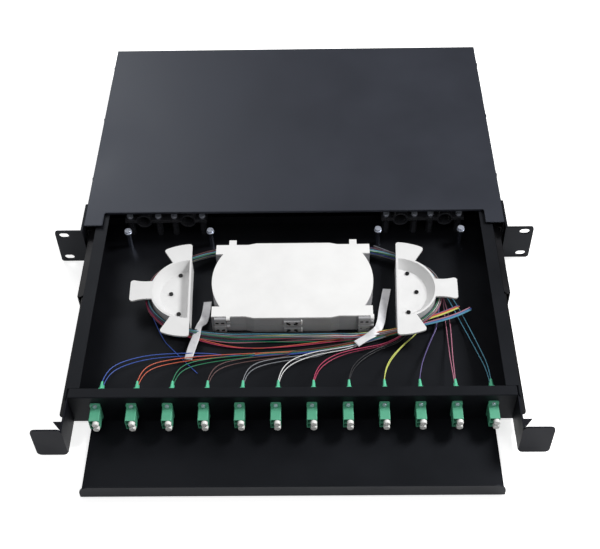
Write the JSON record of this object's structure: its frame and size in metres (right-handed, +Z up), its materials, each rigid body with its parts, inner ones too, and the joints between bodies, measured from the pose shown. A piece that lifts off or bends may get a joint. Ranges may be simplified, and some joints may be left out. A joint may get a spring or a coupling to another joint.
{
  "type": "fibre optic patch panel",
  "caption": "Rack-mount fibre optic patch panel: sliding drawer with duplex adapters, pigtails, fibre spools, hinged splice cassettes and cable clamps in a flat steel case.",
  "frame": {"origin": "centre of the four rack slots, on the front face of the rack ears", "axes": "+X to the right seen from the front, +Y to the back along the drawer's travel, +Z up"},
  "size_m": [0.4826, 0.5796, 0.0436],
  "materials": {
    "black_sheet": "satin powder coat",
    "slide_steel": "black coated steel",
    "black_screw": "black oxide",
    "zinc_steel": "zinc plated",
    "dark_steel": "dark plated",
    "grey_plastic": "moulded",
    "white_plastic": "moulded",
    "green_plastic": "moulded, semi-gloss",
    "boot_green": "soft moulded",
    "rubber_edge": "matt",
    "strap_film": "translucent film",
    "fibre_mix": "coloured fibre jackets",
    "fibre_blue": "0.9 mm tight buffer",
    "fibre_orange": "0.9 mm tight buffer",
    "fibre_green": "0.9 mm tight buffer",
    "fibre_brown": "0.9 mm tight buffer",
    "fibre_grey": "0.9 mm tight buffer",
    "fibre_white": "0.9 mm tight buffer",
    "fibre_red": "0.9 mm tight buffer",
    "fibre_black": "0.9 mm tight buffer",
    "fibre_yellow": "0.9 mm tight buffer",
    "fibre_violet": "0.9 mm tight buffer",
    "fibre_pink": "0.9 mm tight buffer",
    "fibre_aqua": "0.9 mm tight buffer"
  },
  "bodies": {
    "case": {"case_chassis": "black_sheet", "case_cover": "black_sheet", "case_screws": "black_screw", "rack_ear_left": "black_sheet", "rack_ear_right": "black_sheet", "rear_grommets": "rubber_edge", "slide_outer_left": "slide_steel", "slide_outer_right": "slide_steel"},
    "slide_left": {"slide_middle_left": "slide_steel"},
    "slide_right": {"slide_middle_right": "slide_steel"},
    "drawer": {"drawer_tray": "black_sheet", "adapter_panel": "black_sheet", "handle_left": "black_sheet", "handle_right": "black_sheet", "front_shelf": "black_sheet", "slide_inner_left": "slide_steel", "slide_inner_right": "slide_steel", "drawer_screws": "black_screw", "lc_adapters": "green_plastic", "adapter_screws": "zinc_steel", "lc_connectors": "boot_green", "pigtail_blue": "fibre_blue", "pigtail_orange": "fibre_orange", "pigtail_green": "fibre_green", "pigtail_brown": "fibre_brown", "pigtail_grey": "fibre_grey", "pigtail_white": "fibre_white", "pigtail_red": "fibre_red", "pigtail_black": "fibre_black", "pigtail_yellow": "fibre_yellow", "pigtail_violet": "fibre_violet", "pigtail_pink": "fibre_pink", "pigtail_aqua": "fibre_aqua", "pigtail_coil": "fibre_mix", "pigtail_ends": "fibre_mix", "spool_left": "white_plastic", "spool_right": "white_plastic", "spool_screws": "black_screw", "splice_tray_lower": "grey_plastic", "clamp_bars_lower": "dark_steel", "clamp_bars_upper": "dark_steel", "clamp_standoffs": "dark_steel", "clamp_screws": "zinc_steel", "member_posts": "zinc_steel", "strap_left": "strap_film", "strap_right": "strap_film"},
    "cassette": {"splice_tray_upper": "grey_plastic"},
    "lid": {"splice_tray_lid": "white_plastic"},
    "cap_01": {"dust_cap_01": "white_plastic"},
    "cap_02": {"dust_cap_02": "white_plastic"},
    "cap_03": {"dust_cap_03": "white_plastic"},
    "cap_04": {"dust_cap_04": "white_plastic"},
    "cap_05": {"dust_cap_05": "white_plastic"},
    "cap_06": {"dust_cap_06": "white_plastic"},
    "cap_07": {"dust_cap_07": "white_plastic"},
    "cap_08": {"dust_cap_08": "white_plastic"},
    "cap_09": {"dust_cap_09": "white_plastic"},
    "cap_10": {"dust_cap_10": "white_plastic"},
    "cap_11": {"dust_cap_11": "white_plastic"},
    "cap_12": {"dust_cap_12": "white_plastic"}
  },
  "joints": [
    {"name": "drawer_slide", "type": "slide", "parent": "case", "child": "drawer", "axis": [0, 1, 0], "range_m": [0, 0.231]},
    {"name": "slide_left_run", "type": "slide", "parent": "case", "child": "slide_left", "axis": [0, 1, 0], "range_m": [0, 0.1155]},
    {"name": "slide_right_run", "type": "slide", "parent": "case", "child": "slide_right", "axis": [0, 1, 0], "range_m": [0, 0.1155]},
    {"name": "cassette_hinge", "type": "hinge", "parent": "drawer", "child": "cassette", "pos_m": [0, -0.0995, -0.0075], "axis": [-1, 0, 0], "range_deg": [-70, 0]},
    {"name": "lid_hinge", "type": "hinge", "parent": "cassette", "child": "lid", "pos_m": [0, -0.0995, 0.0025], "axis": [-1, 0, 0], "range_deg": [-90, 0]},
    {"name": "cap_01_pull", "type": "slide", "parent": "drawer", "child": "cap_01", "axis": [0, 1, 0], "range_m": [-0.015, 0]},
    {"name": "cap_02_pull", "type": "slide", "parent": "drawer", "child": "cap_02", "axis": [0, 1, 0], "range_m": [-0.015, 0]},
    {"name": "cap_03_pull", "type": "slide", "parent": "drawer", "child": "cap_03", "axis": [0, 1, 0], "range_m": [-0.015, 0]},
    {"name": "cap_04_pull", "type": "slide", "parent": "drawer", "child": "cap_04", "axis": [0, 1, 0], "range_m": [-0.015, 0]},
    {"name": "cap_05_pull", "type": "slide", "parent": "drawer", "child": "cap_05", "axis": [0, 1, 0], "range_m": [-0.015, 0]},
    {"name": "cap_06_pull", "type": "slide", "parent": "drawer", "child": "cap_06", "axis": [0, 1, 0], "range_m": [-0.015, 0]},
    {"name": "cap_07_pull", "type": "slide", "parent": "drawer", "child": "cap_07", "axis": [0, 1, 0], "range_m": [-0.015, 0]},
    {"name": "cap_08_pull", "type": "slide", "parent": "drawer", "child": "cap_08", "axis": [0, 1, 0], "range_m": [-0.015, 0]},
    {"name": "cap_09_pull", "type": "slide", "parent": "drawer", "child": "cap_09", "axis": [0, 1, 0], "range_m": [-0.015, 0]},
    {"name": "cap_10_pull", "type": "slide", "parent": "drawer", "child": "cap_10", "axis": [0, 1, 0], "range_m": [-0.015, 0]},
    {"name": "cap_11_pull", "type": "slide", "parent": "drawer", "child": "cap_11", "axis": [0, 1, 0], "range_m": [-0.015, 0]},
    {"name": "cap_12_pull", "type": "slide", "parent": "drawer", "child": "cap_12", "axis": [0, 1, 0], "range_m": [-0.015, 0]}
  ],
  "couplings": [
    {"joint": "slide_left_run", "follows": "drawer_slide", "ratio": 0.5},
    {"joint": "slide_right_run", "follows": "drawer_slide", "ratio": 0.5}
  ]
}
